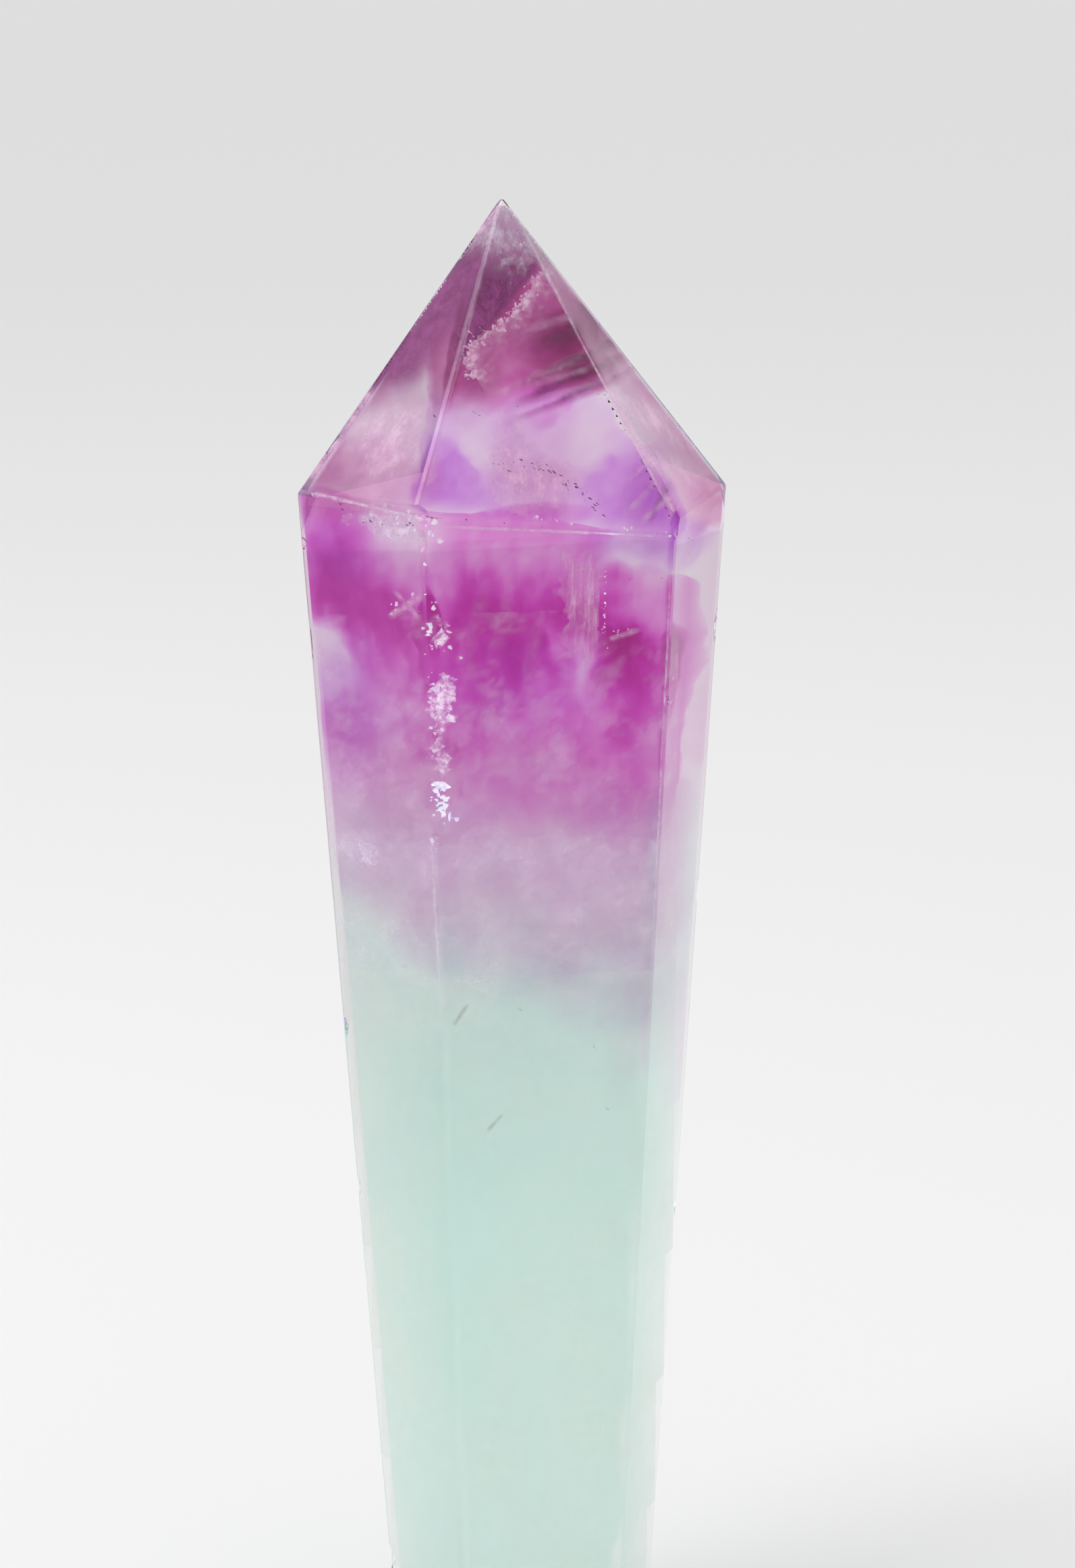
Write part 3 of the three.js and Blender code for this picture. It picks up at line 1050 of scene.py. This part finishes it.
# %% [markdown]
# Growth lines, scratches and the light along the edges are threads: narrow films that wander a little,
# milkiest along their middle. All threads of one kind are joined to one piece.

# %% Making threads
THREAD_COLUMNS = 8
THREAD_GRAIN = 0.25  # millimetres along a thread
WANDER = 0.12  # millimetres to either side


def add_threads(name, material, threads, skin):
    """Long thin films, each given by its two ends, its width and how milky it is."""
    films = []
    for start, end, width, strength in threads:
        run = (end[0] - start[0], end[1] - start[1])
        length = math.hypot(*run)
        aside = (-run[1] / length, run[0] / length)

        def place_at(across, up):
            off = (across - 0.5) * width + WANDER * noise.noise(Vector((up * length / 1.5, 7.7, start[1])))
            return (start[0] + run[0] * up + aside[0] * off, start[1] + run[1] * up + aside[1] * off)

        def milk_at(x, z):
            gap = abs((x - start[0]) * aside[0] + (z - start[1]) * aside[1])
            up = ((x - start[0]) * run[0] + (z - start[1]) * run[1]) / length ** 2
            ends = rise(up, -0.02, 0.2) * (1.0 - rise(up, 0.8, 1.02))
            return max(strength * (1.0 - rise(gap, 0.0, width * 0.6)) * ends, 0.001)

        films.append(add_film(name, place_at, milk_at, THREAD_COLUMNS, round(length / THREAD_GRAIN), skin))
    finish_piece(join(name, films), material)


# %% Threads of light and dark
PALE = veil_material("pale_thread", (0.84, 0.5, 0.74), (0.95, 0.76, 0.9), 0.7, 0.7)
# the edge threads are painted highlights: the bright lines that light draws along the polished edges
EDGE_HIGHLIGHT = veil_material("painted_edge_highlight", (0.9, 0.86, 0.92), (0.98, 0.97, 0.99), 0.5, 0.5)
DUSK = veil_material("dark_thread", (0.2, 0.04, 0.15), (0.32, 0.08, 0.24), 0.7, 0.7, 0.0)
pale_threads = (
    ((-1.4, 73.1), (4.2, 75.4), 0.8, 0.2),
    ((0.3, 73.6), (4.7, 74.7), 0.45, 0.18),
    ((0.5, 76.7), (3.4, 77.4), 0.7, 0.18),
    ((0.7, 72.9), (5.2, 73.9), 0.4, 0.16),
    ((6.3, 66.9), (8.1, 68.7), 0.5, 0.3),
    ((6.9, 66.2), (8.5, 67.6), 0.45, 0.28),
    ((6.3, 68.5), (7.4, 69.6), 0.4, 0.22),
    ((-2.8, 58.6), (-1.4, 63.6), 1.1, 0.08),
    ((-0.9, 59.2), (-0.1, 64.4), 1.0, 0.07),
    ((0.4, 55.6), (1.4, 61.6), 1.0, 0.08),
    ((5.2, 59.9), (7.0, 60.4), 0.4, 0.45),
    ((-6.9, 61.2), (-4.9, 62.7), 0.5, 0.45),
    ((-6.6, 62.8), (-5.0, 61.2), 0.4, 0.3),
)
dark_threads = (
    ((0.9, 73.2), (4.6, 74.9), 0.8, 0.36),
    ((2.2, 72.8), (5.1, 74.1), 0.5, 0.36),
    ((1.4, 75.9), (3.7, 76.7), 1.0, 0.36),
    ((7.4, 66.3), (8.6, 68.4), 0.5, 0.26),
    ((-3.4, 38.4), (-2.6, 39.6), 0.3, 0.2),
    ((-1.6, 32.2), (-0.6, 33.2), 0.3, 0.18),
)
# painted highlights along the edges of the tip, the girdle and the column
painted_edge_highlights = (
    ((-5.0, 67.6), (-0.75, 83.6), 0.2, 0.16),
    ((9.0, 66.2), (0.2, 82.6), 0.2, 0.4),
    ((-4.7, 66.5), (8.9, 65.5), 0.22, 0.36),
    ((-11.8, 67.8), (-5.0, 66.9), 0.26, 0.5),
    ((-4.6, 50.0), (-4.1, 40.0), 0.22, 0.25),
    ((8.7, 65.0), (7.7, 42.0), 0.18, 0.4),
)
dull_edges = (
    (GIRDLE_LEFT, (-7.6, 73.95), 1.0, 0.8),
    ((-2.4, 81.5), (-0.9, 83.6), 0.7, 0.8),
)
add_threads("pale_threads", PALE, pale_threads, 0.11)
add_threads("dark_threads", DUSK, dark_threads, 0.19)
add_threads("painted_edge_highlights", EDGE_HIGHLIGHT, painted_edge_highlights, 0.06)
add_threads("dull_edges", PALE, dull_edges, 0.09)

# %% [markdown]
# Chips are small flat lumps that each lie their own way, so every one catches the light differently:
# icospheres of twenty faces, flattened and pulled about. On the bright ones the glint is also painted, by
# pale tints and a glow. A fixed seed strews them the same way each time.

# %% Material for chips
CHIP_GRAIN = 0.6 * MM


def chip_material(name, stops, roughness, glow=0.0):
    """The tint changes quickly from place to place, so every chip takes its own."""
    recipe = Recipe(name)
    place = recipe.add("TexCoord", output="Object")
    grain = recipe.add("TexNoise", {"Vector": place, "Scale": 1.0 / CHIP_GRAIN, "Detail": 2.0})
    tint = recipe.add("ValToRGB", {"Fac": grain}, stops=stops)
    # glow is emission, a painted glint on the bright chips; the dark chips have none
    inputs = {"Base Color": tint, "Roughness": roughness, "Emission Color": tint, "Emission Strength": glow}
    return recipe.finished(Surface=recipe.add("BsdfPrincipled", inputs))


# %% Making chips
CHIP_MARGIN = 0.08 * MM
CHIP_THICKNESS = 0.05 * MM
CHIP_TILT = 16.0  # degrees either way


def add_chips(name, material, places, skin):
    """Each place is x, z, width, height and turn, in millimetres and degrees."""
    chips = []
    for x, z, wide, tall, turn in places:
        y, _ = front_at(x * MM, z * MM, skin * MM)
        if not under_skin(Vector((x * MM, y, z * MM)), CHIP_MARGIN):
            continue
        tilt = math.radians(random.uniform(-CHIP_TILT, CHIP_TILT))
        bpy.ops.object.select_all(action="DESELECT")
        bpy.ops.mesh.primitive_ico_sphere_add(
            subdivisions=1,
            radius=0.5,
            location=(x * MM, y, z * MM),
            rotation=(tilt, math.radians(turn), tilt),
            scale=(wide * MM, CHIP_THICKNESS, tall * MM),
        )
        chip = bpy.context.object
        for vertex in chip.data.vertices:
            vertex.co.x *= random.uniform(0.2, 1.5)
            vertex.co.z *= random.uniform(0.2, 1.5)
        chips.append(chip)
    joined = join(name, chips)
    bpy.ops.object.transform_apply(location=True, rotation=True, scale=True)
    finish_piece(joined, material)


def along(line, count, spread, small, large, long=1.0, turn=None):
    """Chips strewn along a line; the size is drawn between small and large."""
    places = []
    for _ in range(count):
        piece = random.randrange(len(line) - 1)
        share = random.random()
        ends = zip(line[piece], line[piece + 1])
        x, z = (start + share * (end - start) + random.gauss(0.0, spread) for start, end in ends)
        wide = small + (large - small) * random.random() ** 2
        tall = wide * long * random.uniform(0.4, 1.0)
        angle = random.uniform(0.0, 180.0) if turn is None else random.gauss(turn, 12.0)
        places.append((x, z, wide, tall, angle))
    return places


# %% [markdown]
# Rosy chips crumple the border of the torn veil, clear ones follow cracks and knocked edges, and icy
# blue ones lie where the long crack opens widest.

# %% Bright chips
random.seed(41)
# the pale tints and the glow of these chips are painted glints
GLINT_TINTS = (
    (0.34, (0.66, 0.36, 0.66)),
    (0.46, (0.93, 0.78, 0.92)),
    (0.52, (0.97, 0.95, 0.98)),
    (0.64, (0.74, 0.84, 0.97)),
)
ICE_TINTS = ((0.4, (0.72, 0.93, 0.97)), (0.5, (0.96, 0.97, 0.99)), (0.6, (0.7, 0.78, 0.98)))
ROSY_TINTS = ((0.4, (0.72, 0.4, 0.62)), (0.52, (0.93, 0.74, 0.86)), (0.62, (0.8, 0.56, 0.74)))
GLINT = chip_material("glint", GLINT_TINTS, 0.15, 0.3)
ICE = chip_material("ice_glint", ICE_TINTS, 0.1, 0.45)
ROSY = chip_material("rosy_glint", ROSY_TINTS, 0.25, 0.2)
GLINT_LINES = (
    (((-4.9, 65.6), (-4.5, 60.0), (-4.4, 56.0), (-4.3, 48.6)), 26, 0.25, 0.06, 0.34, 1.6),
    (((-4.5, 58.0), (-3.9, 55.6)), 14, 0.4, 0.1, 0.6, 1.6),
    (((-4.6, 61.0), (-3.5, 59.4)), 12, 0.25, 0.08, 0.4, 2.0),
    (((-6.8, 61.6), (-5.2, 62.6)), 8, 0.15, 0.08, 0.36, 1.6),
    (((4.9, 63.8), (5.05, 58.8)), 24, 0.08, 0.04, 0.18, 2.0),
    (((4.8, 60.2), (6.6, 60.4)), 6, 0.08, 0.06, 0.26),
    (((-6.0, 66.9), (-3.6, 65.2)), 16, 0.3, 0.06, 0.4, 1.6),
    (((-1.6, 80.6), (1.4, 81.4)), 14, 0.35, 0.06, 0.36, 1.6),
    (((1.0, 66.75), (9.0, 65.5)), 16, 0.06, 0.06, 0.3),
    (((8.7, 57.4), (8.6, 56.0)), 5, 0.08, 0.1, 0.3),
    (((-11.8, 67.6), (-5.6, 67.3)), 12, 0.06, 0.06, 0.3),
)
add_chips("torn_edge", ROSY, along(TEAR, 170, 0.2, 0.08, 0.4), 0.24)
edge_glints = []
for line, *strewn in GLINT_LINES:
    edge_glints += along(line, *strewn)
add_chips("edge_glints", GLINT, edge_glints, 0.2)
ice = along(((-4.2, 51.9), (-3.6, 50.2)), 34, 0.24, 0.12, 0.55)
ice += along(((-4.5, 49.0), (-4.3, 48.5)), 6, 0.1, 0.1, 0.3)
ice.append((-3.9, 52.1, 1.1, 0.45, 3.0))
add_chips("ice_glints", ICE, ice, 0.17)

# %% [markdown]
# A few cracks are seen edge on and look dark. Their dark tint is painted shade.

# %% Dark chips
# painted shade: the dark tints of cracks seen edge on
CRACK_SHADE = chip_material("painted_shade_crack", ((0.4, (0.2, 0.05, 0.16)), (0.6, (0.34, 0.14, 0.3))), 0.4)
dark = along(((-9.6, 66.9), (-5.4, 66.5)), 16, 0.25, 0.1, 0.45, 0.3, 0.0)
dark += along(((0.6, 69.9), (2.2, 69.0), (3.7, 68.1), (4.9, 66.6)), 46, 0.2, 0.08, 0.4, 0.4, 35.0)
dark += along(((-1.4, 69.6), (0.8, 69.4)), 10, 0.3, 0.08, 0.3, 0.5)
add_chips("painted_shade_cracks", CRACK_SHADE, dark, 0.1)

# %% [markdown]
# ## The polish
#
# The skin of the stone is lapped very smooth, with fine scratches that a noise in the roughness stands
# for. Fluorite bends light less than quartz does: its refractive index is 1.434. The clear crystal takes
# a little light, evenly, and a faint tint from mint to purple carries the colour right to the surface.

# %% Polished stone
HEIGHT = 84.0 * MM
TINT_CLOUDS = 9.0 * MM
SCRATCHES = 0.8 * MM
CLEAR = {"through": (0.93, 0.94, 0.94), "depth": 17.0}  # the crystal where it has no colour
POLISH_TINTS = (
    (0.3, (0.93, 0.95, 0.94)),
    (0.52, (0.88, 0.87, 0.88)),
    (0.62, (0.9, 0.76, 0.88)),
    (0.9, (0.88, 0.76, 0.86)),
)


def polish_material():
    recipe = Recipe("polished_fluorite")
    place = recipe.add("TexCoord", output="Object")
    up = recipe.add("SeparateXYZ", {"Vector": place}, output="Z")
    cloudy = recipe.add("TexNoise", {"Vector": place, "Scale": 1.0 / TINT_CLOUDS, "Detail": 3.0})
    share = (up / HEIGHT + (cloudy - 0.5) * 0.25).clamped()
    tint = recipe.add("ValToRGB", {"Fac": share}, stops=POLISH_TINTS)
    scratched = recipe.add("TexNoise", {"Vector": place, "Scale": 1.0 / SCRATCHES, "Detail": 6.0})
    inputs = {
        "Base Color": tint,
        "Transmission Weight": 1.0,
        "IOR": FLUORITE_IOR,
        "Roughness": 0.01 + 0.03 * scratched,
    }
    surface = recipe.add("BsdfPrincipled", inputs)
    return recipe.finished(Surface=surface, Volume=absorb(recipe, CLEAR))


finish_piece(stone, polish_material())
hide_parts(NODE)
